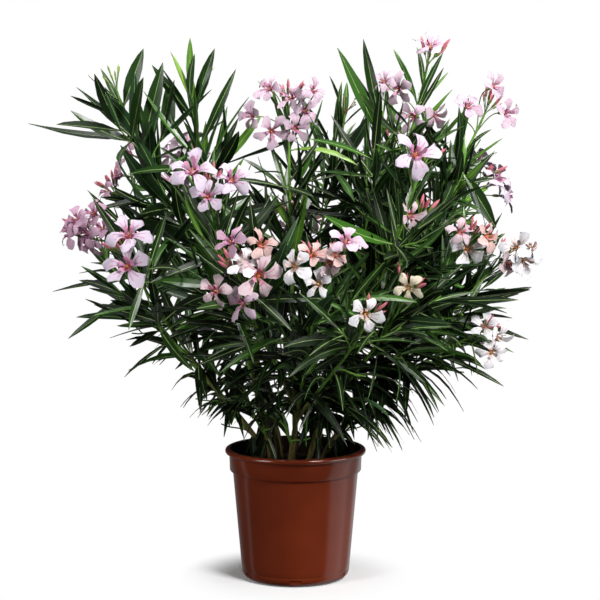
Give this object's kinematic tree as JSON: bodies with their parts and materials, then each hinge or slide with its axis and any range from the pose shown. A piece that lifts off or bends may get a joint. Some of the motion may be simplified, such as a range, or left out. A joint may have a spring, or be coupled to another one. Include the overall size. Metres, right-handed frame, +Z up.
{
  "type": "potted oleander",
  "caption": "Oleander shrub in flower in a round nursery pot: filled pot, bare tapering stems and boughs, and masses of long narrow leaves in whorls with heads of five-petalled florets.",
  "frame": {"origin": "centre of the pot's flat underside, on the pot's axis", "axes": "+Z up along the pot's axis, -Y towards the plant's best side, +X to the right as seen from there"},
  "size_m": [0.8765, 0.7941, 0.9196],
  "materials": {
    "pot": "satin moulded plastic",
    "soil": "matte moist potting soil",
    "bark": "matte young bark",
    "foliage": "satin leaves with matte petals"
  },
  "bodies": {
    "root": {"pot": "pot", "soil": "soil", "stem_back_left": "bark", "stem_back_right": "bark", "stem_centre": "bark", "stem_front": "bark", "stem_front_left": "bark", "stem_front_right": "bark", "stem_left": "bark", "stem_left_high": "bark", "stem_right": "bark", "stem_right_high": "bark", "bough_arching": "bark", "bough_blush": "bark", "bough_centre_left": "bark", "bough_cream": "bark", "bough_far_top": "bark", "bough_left_blooms": "bark", "bough_low_cluster": "bark", "bough_low_white": "bark", "bough_rear": "bark", "bough_salmon_white": "bark", "bough_seedheads": "bark", "bough_side_left": "bark", "bough_side_right": "bark", "bough_spears": "bark", "bough_top_left": "bark", "foliage_arching": "foliage", "foliage_big_bloom": "foliage", "foliage_blush": "foliage", "foliage_centre": "foliage", "foliage_centre_left": "foliage", "foliage_cream": "foliage", "foliage_crown": "foliage", "foliage_far_cluster": "foliage", "foliage_far_left": "foliage", "foliage_far_top": "foliage", "foliage_left_blooms": "foliage", "foliage_lilac": "foliage", "foliage_low_cluster": "foliage", "foliage_low_white": "foliage", "foliage_rear": "foliage", "foliage_rear_left": "foliage", "foliage_rear_right": "foliage", "foliage_salmon_white": "foliage", "foliage_seedheads": "foliage", "foliage_side_left": "foliage", "foliage_side_right": "foliage", "foliage_skirt_back_left": "foliage", "foliage_skirt_back_right": "foliage", "foliage_skirt_front": "foliage", "foliage_skirt_front_left": "foliage", "foliage_skirt_front_right": "foliage", "foliage_skirt_left": "foliage", "foliage_skirt_right": "foliage", "foliage_spears": "foliage", "foliage_top_left": "foliage", "foliage_top_right": "foliage", "foliage_young_tips": "foliage"}
  },
  "joints": []
}
